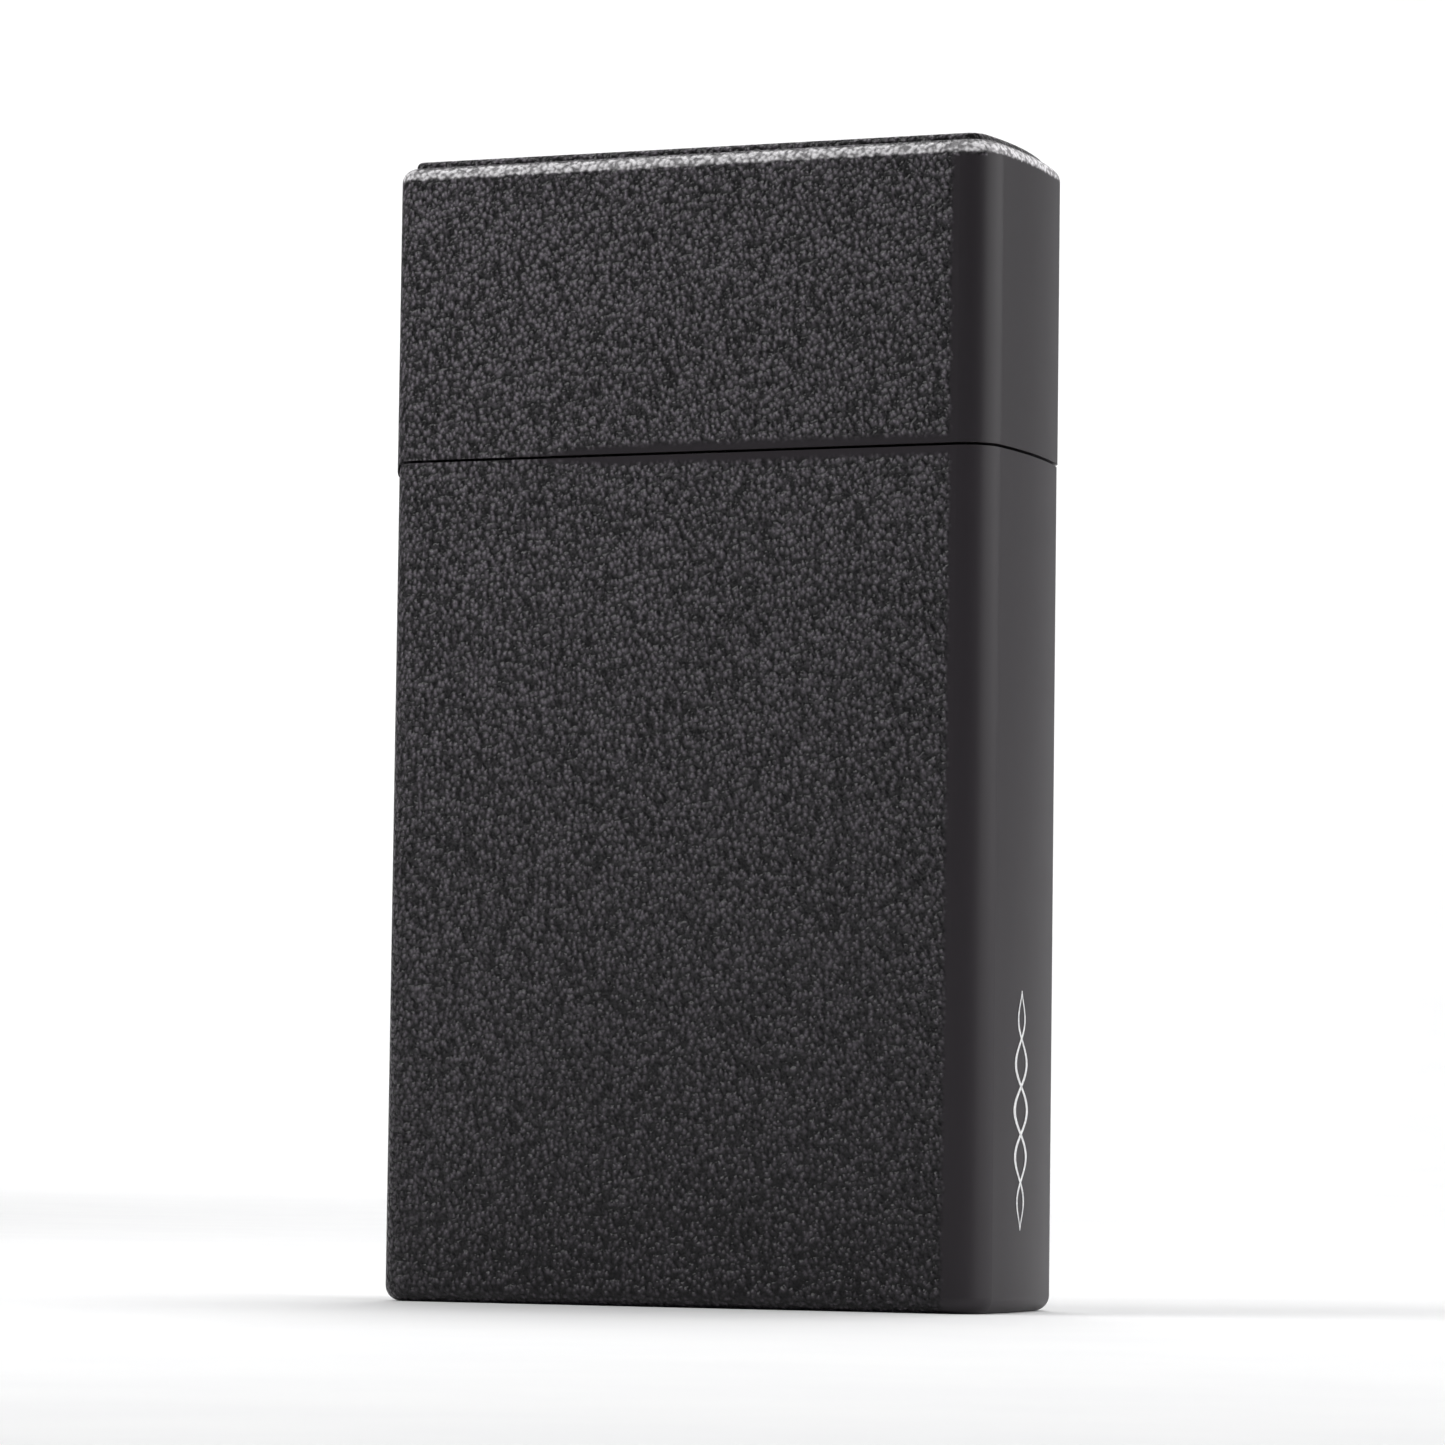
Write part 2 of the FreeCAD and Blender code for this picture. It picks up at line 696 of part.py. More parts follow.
def screw_pair(label, places, profile, face, from_below=False):
    """Two like screws as separate solids under one name."""
    screws = [cross_screw(f"{label}_{i}", profile, x, face, from_below) for i, x in enumerate(places)]
    pair = doc.addObject("Part::Compound", label)
    pair.Label = label
    pair.Links = screws
    pair.Placement = FreeCAD.Placement()
    doc.recompute()
    return pair


base_screw = [
    ("0", "0.1"),
    ("base_head_rad", "0.1"),
    ("base_head_rad", "base_recess - 0.03"),
    ("base_screw_rad", "base_recess - 0.03"),
    ("base_screw_rad", "base_screw_len"),
    ("0", "base_screw_len + 0.6"),
]
places = ("-base_screw_x", "base_screw_x")
base_screws = screw_pair("base_screws", places, base_screw, "0.1", from_below=True)
deck_screw = [
    ("0", "frame_top - 3.8"),
    ("deck_screw_rad", "frame_top - 3.3"),
    ("deck_screw_rad", "deck_top + 0.02"),
    ("deck_head_rad", "deck_top + 0.02"),
    ("deck_head_rad - 0.1", "deck_top + 0.5"),
    ("0", "deck_top + 0.55"),
]
places = ("deck_screw_hinge_x", "deck_screw_side_x")
deck_screws = screw_pair("deck_screws", places, deck_screw, "deck_top + 0.55")

# Burner
shroud_fit = "shroud_rad - shroud_wall - press_clear"
burner_base = turned(
    "burner_base",
    [
        ("stem_bore", "nozzle_z"),
        ("stem_rad", "nozzle_z"),
        ("stem_rad", "burner_base_z"),
        (shroud_fit, "burner_base_z"),
        (shroud_fit, "burner_step"),
        ("nozzle_rad", "burner_step"),
        ("nozzle_rad", "burner_step + nozzle_rise"),
        ("jet_rad", "burner_step + nozzle_rise"),
        ("jet_rad", "burner_step"),
        ("stem_bore", "burner_step"),
    ],
    x="burner_x",
)
shroud = turned(
    "burner_shroud",
    ring_points("shroud_rad - shroud_wall", "shroud_rad", "burner_base_z", "shroud_top"),
    x="burner_x",
)
for plane in ("XZ_Plane", "YZ_Plane"):
    air_hole = circle_sketch(shroud, [("0", "deck_top + 1.1", "0.7")], plane)
    pocket(shroud, air_hole, "2 * shroud_rad + 2", side="Symmetric")
dress(shroud, "0.12", lambda m, e: abs(m.z - value("shroud_top")) < 1e-6)

holder = turned(
    "flame_holder",
    ring_points("0.8", shroud_fit, "holder_z", "holder_top"),
    x="burner_x",
)
port = pocket(holder, circle_sketch(holder, [("1.9", "0", "0.35")], level="holder_top"), "2")
ports = holder.newObject("PartDesign::PolarPattern", "flame_ports")
ports.Originals = [port]
ports.Axis = (origin_part(holder, "Z_Axis"), [""])
ports.Angle = 360.0
ports.Occurrences = 8
holder.Tip = ports
doc.recompute()

catalyst = coil("catalyst_coil", "1.3", "0.12", "0.4", "holder_top + 0.15", "0.8", x="burner_x")

bracket = new_body("burner_bracket")
bracket_plan = box_points("valve_bay_hinge_x", "0.6", "-bay_half_y", "bay_half_y")
bracket_sketch = polygon_sketch(bracket, bracket_plan, level="burner_step - bracket_thick")
pad(bracket, bracket_sketch, "bracket_thick")
bracket_holes = [
    ("burner_x", "0", "shroud_rad + press_clear"),
    ("electrode_x", "0", "insulator_rad + press_clear"),
]
pocket(bracket, circle_sketch(bracket, bracket_holes, level="burner_step"), "2")

gas_tube = turned(
    "gas_tube",
    ring_points("stem_rad + 0.02", "1.2", "collar_top + 0.15", "burner_base_z - 0.05"),
    x="burner_x",
)

# Valve: the stem lifts off its seat to let gas through
valve_body = turned(
    "valve_body",
    [
        ("gas_way_rad", "valve_z"),
        ("valve_rad", "valve_z"),
        ("valve_rad", "valve_top"),
        ("valve_bore", "valve_top"),
        ("valve_bore", "seat_z"),
        ("gas_way_rad", "seat_z"),
    ],
    x="burner_x",
)
gland_z = "valve_top - 3.8"
valve_gland = turned(
    "valve_gland",
    ring_points("stem_rad + 0.04", "valve_bore - 0.02", gland_z, "valve_top"),
    x="burner_x",
)
valve_seal = turned("valve_seal", box_points("0", "1.2", "seat_z + 0.02", "seat_z + 0.75"), x="burner_x")
valve_stem = turned(
    "valve_stem",
    [
        ("0", "seat_z + 0.75"),
        ("1.3", "seat_z + 0.75"),
        ("1.3", "seat_z + 2.6"),
        ("stem_rad", "seat_z + 2.6"),
        ("stem_rad", "collar_z"),
        ("1.5", "collar_z"),
        ("1.5", "collar_top"),
        ("stem_rad", "collar_top"),
        ("stem_rad", "stem_top"),
        ("stem_bore", "stem_top"),
        ("stem_bore", "seat_z + 3.6"),
        ("0", "seat_z + 3.6"),
    ],
    x="burner_x",
)
valve_spring = coil("valve_spring", "1.1", "0.18", "1.2", "seat_z + 2.8", "7.2", x="burner_x")

# Lever from the button to the valve stem
lever = new_body("valve_lever", "pivot_x", "0", "pivot_z")
lever.Placement.Rotation = FreeCAD.Rotation(V(0, -1, 0), value("lever_tilt"))
bind(lever, "Placement.Rotation.Angle", "lever_tilt")
bar = box_points("-lever_left - 1.2", "lever_right + 0.5", "-lever_thick / 2", "lever_thick / 2")
along_y(lever, "Pad", bar, "lever_width")
round_along_y(lever, "Pad", "0", "0", "lever_hub_rad", "lever_hub_len")
fork = box_points("-lever_left - 2", "-lever_left + 0.85", "-stem_rad - 0.1", "stem_rad + 0.1")
pocket(lever, polygon_sketch(lever, fork), "4", side="Symmetric")
round_along_y(lever, "Pocket", "0", "0", "lever_pin_rad + 0.03", "8")

lever_pin = new_body("lever_pin")
round_along_y(lever_pin, "Pad", "pivot_x", "pivot_z", "lever_pin_rad", "lever_pin_len")

# Ignition button: a cap through the deck, a flange under it, and a leg down to the lever
button = new_body("ignition_button")
button_plan = box_points(
    "button_x - button_half_x",
    "button_x + button_half_x",
    "-button_half_y",
    "button_half_y",
)
pad(button, polygon_sketch(button, button_plan, level="flange_z"), "button_top - flange_z")
dress(button, "button_corner", lambda m, e: upright(e))
dress(button, "0.7", lambda m, e: abs(m.z - value("button_top")) < 1e-6)
flange = box_points("flange_left", "button_x + flange_half_x", "-flange_half_y", "flange_half_y")
pad(button, polygon_sketch(button, flange, level="flange_z"), "flange_top - flange_z")
leg = box_points("flange_left", "flange_left + leg_width", "-1", "1")
pad(button, polygon_sketch(button, leg, level="leg_z"), "flange_z - leg_z + 0.5")
for i in range(-2, 3):
    middle = f"button_x + {i} * groove_pitch"
    groove = box_points(
        middle + " - groove_width / 2", middle + " + groove_width / 2", "-groove_half_y", "groove_half_y"
    )
    pocket(button, polygon_sketch(button, groove, level="button_top"), "groove_deep")


def centred(half_x, half_y, inset="0"):
    return box_points(
        f"-({half_x}) + {inset}", f"{half_x} - {inset}", f"-({half_y}) + {inset}", f"{half_y} - {inset}"
    )


# Spark unit
housing = new_body("piezo_housing", "piezo_x")
housing_plan = centred("piezo_half_x", "piezo_half_y")
pad(housing, polygon_sketch(housing, housing_plan, level="piezo_z"), "piezo_top - piezo_z")
dress(housing, "0.5", lambda m, e: upright(e))
well = centred("piezo_half_x", "piezo_half_y", "piezo_wall")
pocket(housing, polygon_sketch(housing, well, level="piezo_top"), "piezo_top - piezo_z - piezo_floor")
terminal = box_points("-0.4", "1.6", "piezo_half_y - 0.3", "piezo_half_y + 1.1")
pad(housing, polygon_sketch(housing, terminal, level="terminal_z"), "terminal_height")

plunger = new_body("piezo_plunger", "piezo_x")
sliding = centred("piezo_half_x", "piezo_half_y", "(piezo_wall + plunger_clear)")
pad(plunger, polygon_sketch(plunger, sliding, level="plunger_z"), "plunger_top - plunger_z")
inside = centred("piezo_half_x", "piezo_half_y", "(piezo_wall + plunger_clear + plunger_wall)")
inside_sketch = polygon_sketch(plunger, inside, level="plunger_z")
pocket(plunger, inside_sketch, "plunger_top - plunger_z - 1", back=True)

hammer = new_body("piezo_hammer", "piezo_x")
hammer_plan = centred("hammer_half_x", "hammer_half_y")
pad(hammer, polygon_sketch(hammer, hammer_plan, level="hammer_z"), "hammer_height")
crystal_profile = box_points("0", "crystal_rad", "piezo_z + piezo_floor", "crystal_top")
crystal = turned("piezo_crystal", crystal_profile, x="piezo_x")
spring_z = "hammer_z + hammer_height + 0.2"
piezo_spring = coil("piezo_spring", "1", "0.16", "1.3", spring_z, "10.4", x="piezo_x")

# Spark electrode with its insulator, and the lead from the spark unit
insulator = turned(
    "electrode_insulator",
    ring_points("electrode_rad + 0.02", "insulator_rad", "insulator_z", "insulator_top"),
    x="electrode_x",
)
electrode_path = [
    ("electrode_x", "0", "insulator_z - 0.2"),
    ("electrode_x", "0", "insulator_top + 3"),
    ("electrode_x - 1.9", "0", "insulator_top + 3.5"),
]
electrode = bent_wire("spark_electrode", electrode_path, 0.7, value("electrode_rad"))
lead_path = [
    ("electrode_x", "0", "insulator_z - 0.22"),
    ("electrode_x", "0", "insulator_z - lead_drop"),
    ("electrode_x", "lead_y", "insulator_z - lead_drop"),
    ("electrode_x", "lead_y", "lead_z"),
    ("piezo_x - 0.42", "lead_y", "lead_z"),
]
lead = bent_wire("ignition_lead", lead_path, 0.9, value("lead_rad"))

# Flame setting through the base, and the tube that carries gas up to the valve
setter = turned(
    "flame_setter",
    [
        ("0", "setter_z"),
        ("setter_rad", "setter_z"),
        ("setter_rad", "setter_head"),
        ("setter_shank", "setter_head"),
        ("setter_shank", "filter_z - 1.1"),
        ("0.3", "filter_z - 0.3"),
        ("0", "filter_z - 0.3"),
    ],
    x="burner_x",
)
slot = box_points("-setter_rad - 1", "setter_rad + 1", "-0.3", "0.3")
pocket(setter, polygon_sketch(setter, slot, level="setter_z"), "setter_slot", back=True)
setter_seal = turned(
    "setter_seal",
    ring_points("regulator_bore", "1.9", "setter_head + 0.03", "regulator_z - 0.02"),
    x="burner_x",
)
regulator = turned(
    "regulator_body",
    [
        ("regulator_bore", "regulator_z"),
        ("valve_rad", "regulator_z"),
        ("valve_rad", "regulator_top"),
        ("gas_way_rad", "regulator_top"),
        ("gas_way_rad", "regulator_seat"),
        ("regulator_bore", "regulator_seat"),
    ],
    x="burner_x",
)
filter_profile = box_points(
    "0", "regulator_bore - press_clear", "filter_z", "regulator_seat - press_clear"
)
gas_filter = turned("gas_filter", filter_profile, x="burner_x")
riser = turned("riser_tube", ring_points("0.45", "0.95", "regulator_top", "valve_z"), x="burner_x")

# Filling valve: the nozzle of a gas can lifts the stem off its seal
fill_body = turned(
    "fill_valve_body",
    [
        ("fill_mouth", "fill_z"),
        ("fill_rad", "fill_z"),
        ("fill_rad", "fill_top"),
        ("fill_bore", "fill_top"),
        ("fill_bore", "3.4"),
        ("fill_mouth", "3.4"),
    ],
    x="fill_x",
)
fill_seal = turned("fill_valve_seal", ring_points("0.8", "fill_bore - 0.03", "3.42", "4"), x="fill_x")
fill_stem = turned(
    "fill_valve_stem",
    [
        ("0", "2"),
        ("0.75", "2"),
        ("0.75", "4.03"),
        ("1.45", "4.03"),
        ("1.45", "4.7"),
        ("0.6", "4.7"),
        ("0.6", "6.2"),
        ("0", "6.2"),
    ],
    x="fill_x",
)
fill_spring = coil("fill_valve_spring", "1.1", "0.16", "0.7", "4.88", "2.2", x="fill_x")
retainer_profile = ring_points("0.68", "fill_bore - 0.02", "7.4", "8.3")
fill_retainer = turned("fill_valve_retainer", retainer_profile, x="fill_x")

pieces = [
    case,
    lid,
    case_leaf,
    lid_leaf,
    hinge_pin,
    snap,
    tank,
    cap,
    frame,
    deck,
    base_screws,
    deck_screws,
    burner_base,
    shroud,
    holder,
    catalyst,
    bracket,
    gas_tube,
    valve_body,
    valve_gland,
    valve_seal,
    valve_stem,
    valve_spring,
    lever,
    lever_pin,
    button,
    housing,
    plunger,
    hammer,
    crystal,
    piezo_spring,
    insulator,
    electrode,
    lead,
    setter,
    setter_seal,
    regulator,
    gas_filter,
    riser,
    fill_body,
    fill_seal,
    fill_stem,
    fill_spring,
    fill_retainer,
]

doc.recompute()
for thing in doc.Objects:
    if "Invalid" in thing.State or "Error" in thing.State:
        raise ValueError(f"{thing.Label}: {thing.State}")
for piece in pieces:
    if piece.Shape.isNull() or not piece.Shape.isValid() or not piece.Shape.Solids:
        raise ValueError(f"{piece.Label} has no valid solid")

os.makedirs("parts", exist_ok=True)
for piece in pieces:
    piece.Shape.exportStep(f"parts/{piece.Label}.step")
    print(piece.Label, len(piece.Shape.Solids), round(piece.Shape.Volume, 3))
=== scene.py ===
"""Looks of the flip-top lighter: finishes on the CAD pieces, a printed ornament, floor, light and camera."""

import json
import math

import bpy
from mathutils import Matrix, Vector


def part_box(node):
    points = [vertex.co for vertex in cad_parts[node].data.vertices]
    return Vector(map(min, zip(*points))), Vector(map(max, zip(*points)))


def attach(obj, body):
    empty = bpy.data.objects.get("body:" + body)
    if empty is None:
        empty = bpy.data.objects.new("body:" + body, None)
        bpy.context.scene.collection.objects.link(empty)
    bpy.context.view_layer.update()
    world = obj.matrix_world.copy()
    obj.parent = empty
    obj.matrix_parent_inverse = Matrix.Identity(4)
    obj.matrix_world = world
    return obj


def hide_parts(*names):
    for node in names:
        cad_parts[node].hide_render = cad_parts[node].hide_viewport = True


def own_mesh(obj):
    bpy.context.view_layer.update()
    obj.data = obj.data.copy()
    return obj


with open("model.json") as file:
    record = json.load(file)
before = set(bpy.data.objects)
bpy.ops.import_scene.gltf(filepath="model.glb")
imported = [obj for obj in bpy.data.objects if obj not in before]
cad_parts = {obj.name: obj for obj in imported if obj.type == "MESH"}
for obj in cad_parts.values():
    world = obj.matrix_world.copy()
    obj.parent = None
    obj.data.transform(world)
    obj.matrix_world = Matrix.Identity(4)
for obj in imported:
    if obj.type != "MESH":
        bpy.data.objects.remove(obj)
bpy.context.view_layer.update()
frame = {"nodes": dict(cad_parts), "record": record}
scene = bpy.context.scene
nodes = frame["nodes"]
rows = {row["node"]: row for row in frame["record"]["subparts"]}
MM = 0.001

case_low, case_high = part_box("case_shell")
lid_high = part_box("lid_shell")[1]


class Maker:
    """Shorthand for building one node material."""

    def __init__(self, name):
        self.material = bpy.data.materials.new(name)
        self.material.use_nodes = True
        self.tree = self.material.node_tree
        self.shader = self.tree.nodes["Principled BSDF"]
        self.coords = self.node("ShaderNodeTexCoord").outputs["Object"]

    def node(self, kind, **values):
        """A new node. Each value goes to the node's own setting of that name, or else to its input."""
        made = self.tree.nodes.new(kind)
        for key, value in values.items():
            if hasattr(made, key):
                setattr(made, key, value)
            else:
                made.inputs[key].default_value = value
        return made

    def feed(self, socket, value):
        """Links another node's output to a socket, or sets the socket to a colour or a number."""
        if isinstance(value, bpy.types.NodeSocket):
            self.tree.links.new(value, socket)
        elif isinstance(value, tuple):
            socket.default_value = (*value, 1.0)
        else:
            socket.default_value = value

    def axis(self, name):
        split = self.node("ShaderNodeSeparateXYZ")
        self.feed(split.inputs["Vector"], self.coords)
        return split.outputs[name]

    def stretch(self, scale):
        mapping = self.node("ShaderNodeMapping", Scale=scale)
        self.feed(mapping.inputs["Vector"], self.coords)
        return mapping.outputs["Vector"]

    def noise(self, scale, detail, roughness=0.5, vector=None):
        made = self.node("ShaderNodeTexNoise", Scale=scale, Detail=detail, Roughness=roughness)
        self.feed(made.inputs["Vector"], vector or self.coords)
        return made.outputs["Fac"]

    def cells(self, scale, smoothness):
        made = self.node("ShaderNodeTexVoronoi", feature="SMOOTH_F1", Scale=scale)
        made.inputs["Smoothness"].default_value = smoothness
        self.feed(made.inputs["Vector"], self.coords)
        return made.outputs["Distance"]

    def math(self, operation, *values):
        made = self.node("ShaderNodeMath", operation=operation)
        for socket, value in zip(made.inputs, values):
            self.feed(socket, value)
        return made.outputs["Value"]

    def ramp(self, value, low, high, to_low=0.0, to_high=1.0, interpolation="SMOOTHSTEP"):
        """Takes low to high onto to_low to to_high, and holds the ends."""
        made = self.node("ShaderNodeMapRange", interpolation_type=interpolation)
        for name, number in (
            ("Value", value),
            ("From Min", low),
            ("From Max", high),
            ("To Min", to_low),
            ("To Max", to_high),
        ):
            self.feed(made.inputs[name], number)
        return made.outputs["Result"]

    def mix(self, factor, a, b, kind="RGBA"):
        """Mixes two colours, or two numbers where the kind is VALUE."""
        made = self.node("ShaderNodeMix", data_type="RGBA" if kind == "RGBA" else "FLOAT")
        self.feed(made.inputs["Factor"], factor)
        for name, value in (("A", a), ("B", b)):
            self.feed([s for s in made.inputs if s.name == name and s.type == kind][0], value)
        return [s for s in made.outputs if s.type == kind][0]

    def bump(self, height, distance, strength=1.0, after=None):
        made = self.node("ShaderNodeBump", Distance=distance)
        self.feed(made.inputs["Strength"], strength)
        self.feed(made.inputs["Height"], height)
        if after is not None:
            self.feed(made.inputs["Normal"], after)
        return made.outputs["Normal"]

    def finish(self, colour, roughness, normal, **values):
        """Joins the surface up, sets the shader's own even values, and gives the material."""
        self.feed(self.shader.inputs["Base Color"], colour)
        self.feed(self.shader.inputs["Roughness"], roughness)
        self.feed(self.shader.inputs["Normal"], normal)
        for name, value in values.items():
            self.shader.inputs[name].default_value = value
        return self.material


# Noise and cell scales are in features to the metre. PATCHY is the part of a noise's range that shows.
PATCHY = (0.3, 0.7)

# Where the coat is grained, and how ragged and how soft the grain's ends are. SKIN is less than any wall.
SKIN = 0.6 * MM
RAGGED_SCALE = 2600
GRAIN_END_X = 15.75 * MM
GRAIN_END_RAGGED = 0.5 * MM
GRAIN_END_FADE = (-0.15 * MM, 0.25 * MM)
SEAM_Z = case_high.z + 0.08 * MM
SEAM_RAGGED = 0.3 * MM
SEAM_FADE = (0.3 * MM, 0.85 * MM)
SEAM_SLACK_X = (-14 * MM, -4 * MM)
SEAM_SLACK = 0.8 * MM
EDGE_LOW_Z = lid_high.z - 1.3 * MM
EDGE_HIGH_Z = lid_high.z - 0.66 * MM
EDGE_FADE_IN = (EDGE_LOW_Z, EDGE_LOW_Z + 0.2 * MM)
EDGE_FADE_OUT = (EDGE_HIGH_Z - 0.05 * MM, EDGE_HIGH_Z + 0.15 * MM)

# The grain's shape, which adds pebbles to a swell, and its tones and gloss.
GRAIN_SCALE = 3300
PEBBLE_SMOOTHNESS = 0.35
PEBBLE_REACH = (0.05, 0.75)
PEBBLE_SHARE, SWELL_SHARE = 0.75, 0.9
GRAIN_DEPTH = 0.16 * MM
GRAIN_ROUGH = (0.33, 0.45)
PIT_COLOUR = (0.0035, 0.003, 0.004)
# The pale tip colour is a painted highlight for the glints on the pebble tops.
TIP_HIGHLIGHT_COLOUR = (0.178, 0.158, 0.184)
TIP_HEIGHT = (0.45, 1.15)
# Painted shade: at the bottom the pebble tops keep only the first share of their brightness. At the narrow
# side away from the hinge they keep the second share.
TIP_SHADE_AT_BOTTOM, TIP_TONE_AT_SIDE = 0.5, 0.78
# Painted highlight: a pale band along the lid's rounded top edge, strongest on the higher pebbles.
EDGE_HIGHLIGHT_HEIGHT = (0.45, 1.0)
LEAST_EDGE_HIGHLIGHT = 0.25
EDGE_HIGHLIGHT_COLOUR = (0.86, 0.84, 0.86)

# The smooth coat.
SATIN_SCALE, SATIN_DEPTH, SATIN_STRENGTH = 9000, 0.0005 * MM, 0.5
SMOOTH_CLOUD_SCALE = 300
SMOOTH_ROUGH = (0.414, 0.428)
COAT_IOR = 1.4


def wandering(m, along, amount):
    """A coordinate with a little noise on it, for a line that isn't quite straight."""
    wander = m.noise(RAGGED_SCALE, 2.0, 0.55)
    return m.math("MULTIPLY_ADD", wander, amount, m.math("SUBTRACT", along, amount / 2))


def grained_area(m, x, ragged_z):
    """1 where the coat is grained. It is smooth on the insides, on the narrow side away from the hinge and
    the corners beside it, and in a strip along the seam that closes towards the hinge."""
    side = m.ramp(wandering(m, x, GRAIN_END_RAGGED), *(GRAIN_END_X + end for end in GRAIN_END_FADE))
    from_seam = m.math("ABSOLUTE", m.math("SUBTRACT", ragged_z, SEAM_Z))
    slack = m.ramp(x, *SEAM_SLACK_X, SEAM_SLACK, 0.0)
    clear = m.ramp(m.math("ADD", from_seam, slack), *SEAM_FADE)
    above = m.ramp(ragged_z, EDGE_LOW_Z - 0.25 * MM, EDGE_LOW_Z)
    grain = m.math("MAXIMUM", m.math("MULTIPLY", clear, m.math("SUBTRACT", 1.0, side)), above)
    on_face = m.math("GREATER_THAN", m.math("ABSOLUTE", m.axis("Y")), case_high.y - SKIN)
    on_hinge_side = m.math("LESS_THAN", x, case_low.x + SKIN)
    on_top = m.math("GREATER_THAN", m.axis("Z"), lid_high.z - SKIN)
    outside = m.math("MAXIMUM", m.math("MAXIMUM", on_face, on_hinge_side), on_top)
    return m.math("MULTIPLY", grain, outside)


def grained_coat(name, smooth_colour):
    """Black pebble-grained coat, with a painted highlight along the lid's rounded top edge. The pebble tops
    carry a painted highlight; painted shade darkens it towards the bottom, and it is dimmer towards the
    narrow side away from the hinge."""
    m = Maker(name)
    x, z = m.axis("X"), m.axis("Z")
    ragged_z = wandering(m, z, SEAM_RAGGED)
    grain = grained_area(m, x, ragged_z)

    pebble = m.ramp(m.cells(GRAIN_SCALE, PEBBLE_SMOOTHNESS), *PEBBLE_REACH, 1.0, 0.0, "LINEAR")
    swell = m.noise(GRAIN_SCALE * 1.3, 1.0)
    height = m.math("MULTIPLY_ADD", swell, SWELL_SHARE, m.math("MULTIPLY", pebble, PEBBLE_SHARE))
    normal = m.bump(height, GRAIN_DEPTH, grain)
    normal = m.bump(m.noise(SATIN_SCALE, 2.0), SATIN_DEPTH, SATIN_STRENGTH, after=normal)

    # Painted shade: the pebble tops darken towards the bottom.
    painted_shade_by_height = m.ramp(z, case_low.z, lid_high.z, TIP_SHADE_AT_BOTTOM, 1.0, "LINEAR")
    # The pebble tops grow dimmer towards the narrow side away from the hinge.
    side_dimming = m.ramp(x, case_low.x, GRAIN_END_X, 1.0, TIP_TONE_AT_SIDE, "LINEAR")
    # Painted highlight: the higher pebbles are paler.
    tip_highlight = m.math("POWER", m.ramp(height, *TIP_HEIGHT, interpolation="LINEAR"), 2.0)
    tip_highlight = m.math("MULTIPLY", tip_highlight, m.math("MULTIPLY", painted_shade_by_height, side_dimming))
    # Painted highlight: a pale band along the lid's rounded top edge.
    edge = m.math("MULTIPLY", m.ramp(ragged_z, *EDGE_FADE_IN), m.ramp(ragged_z, *EDGE_FADE_OUT, 1.0, 0.0))
    edge_highlight = m.math("MULTIPLY", edge, m.ramp(height, *EDGE_HIGHLIGHT_HEIGHT, LEAST_EDGE_HIGHLIGHT, 1.0))
    colour = m.mix(grain, smooth_colour, m.mix(tip_highlight, PIT_COLOUR, TIP_HIGHLIGHT_COLOUR))

    flat_rough = m.ramp(m.noise(SMOOTH_CLOUD_SCALE, 3.0), *PATCHY, *SMOOTH_ROUGH)
    roughness = m.mix(grain, flat_rough, m.ramp(swell, *PATCHY, *GRAIN_ROUGH), "VALUE")
    return m.finish(m.mix(edge_highlight, colour, EDGE_HIGHLIGHT_COLOUR), roughness, normal, IOR=COAT_IOR)


SMUDGE_SCALE, CLOUD_SCALE = 350, 260
WORN_TINT = 0.85
GLOSS_RANGE = (0.4, 1.1)
MOULDED_IOR = 1.48


def metal(name, colour, rough=0.3, axis_scale=(40, 40, 3000), depth=0.002):
    """Metal with drawn or brushed lines along one direction, and uneven polish. The depth is in mm."""
    m = Maker(name)
    lines = m.noise(1.0, 4.0, 0.65, m.stretch(axis_scale))
    smudge = m.noise(SMUDGE_SCALE, 4.0, 0.6)
    tone = m.mix(m.ramp(smudge, 0.35, 0.7), colour, tuple(c * WORN_TINT for c in colour))
    gloss = m.math("MULTIPLY_ADD", smudge, 0.5, lines)
    roughness = m.ramp(gloss, *GLOSS_RANGE, rough - 0.07, rough + 0.12)
    return m.finish(tone, roughness, m.bump(lines, depth * MM, 0.8), Metallic=1.0)


def moulded(name, colour, rough=0.5, depth=0.004, lift=1.35, scale=2500):
    """Moulded plastic, rubber or ceramic with a faint skin texture. The depth is in mm."""
    m = Maker(name)
    skin = m.noise(scale, 4.0, 0.6)
    cloud = m.noise(CLOUD_SCALE, 3.0)
    tone = m.mix(m.ramp(cloud, *PATCHY), colour, tuple(min(1.0, c * lift) for c in colour))
    gloss = m.math("MULTIPLY_ADD", cloud, 0.5, skin)
    roughness = m.ramp(gloss, *GLOSS_RANGE, rough - 0.08, rough + 0.12)
    return m.finish(tone, roughness, m.bump(skin, depth * MM, 0.8), IOR=MOULDED_IOR)


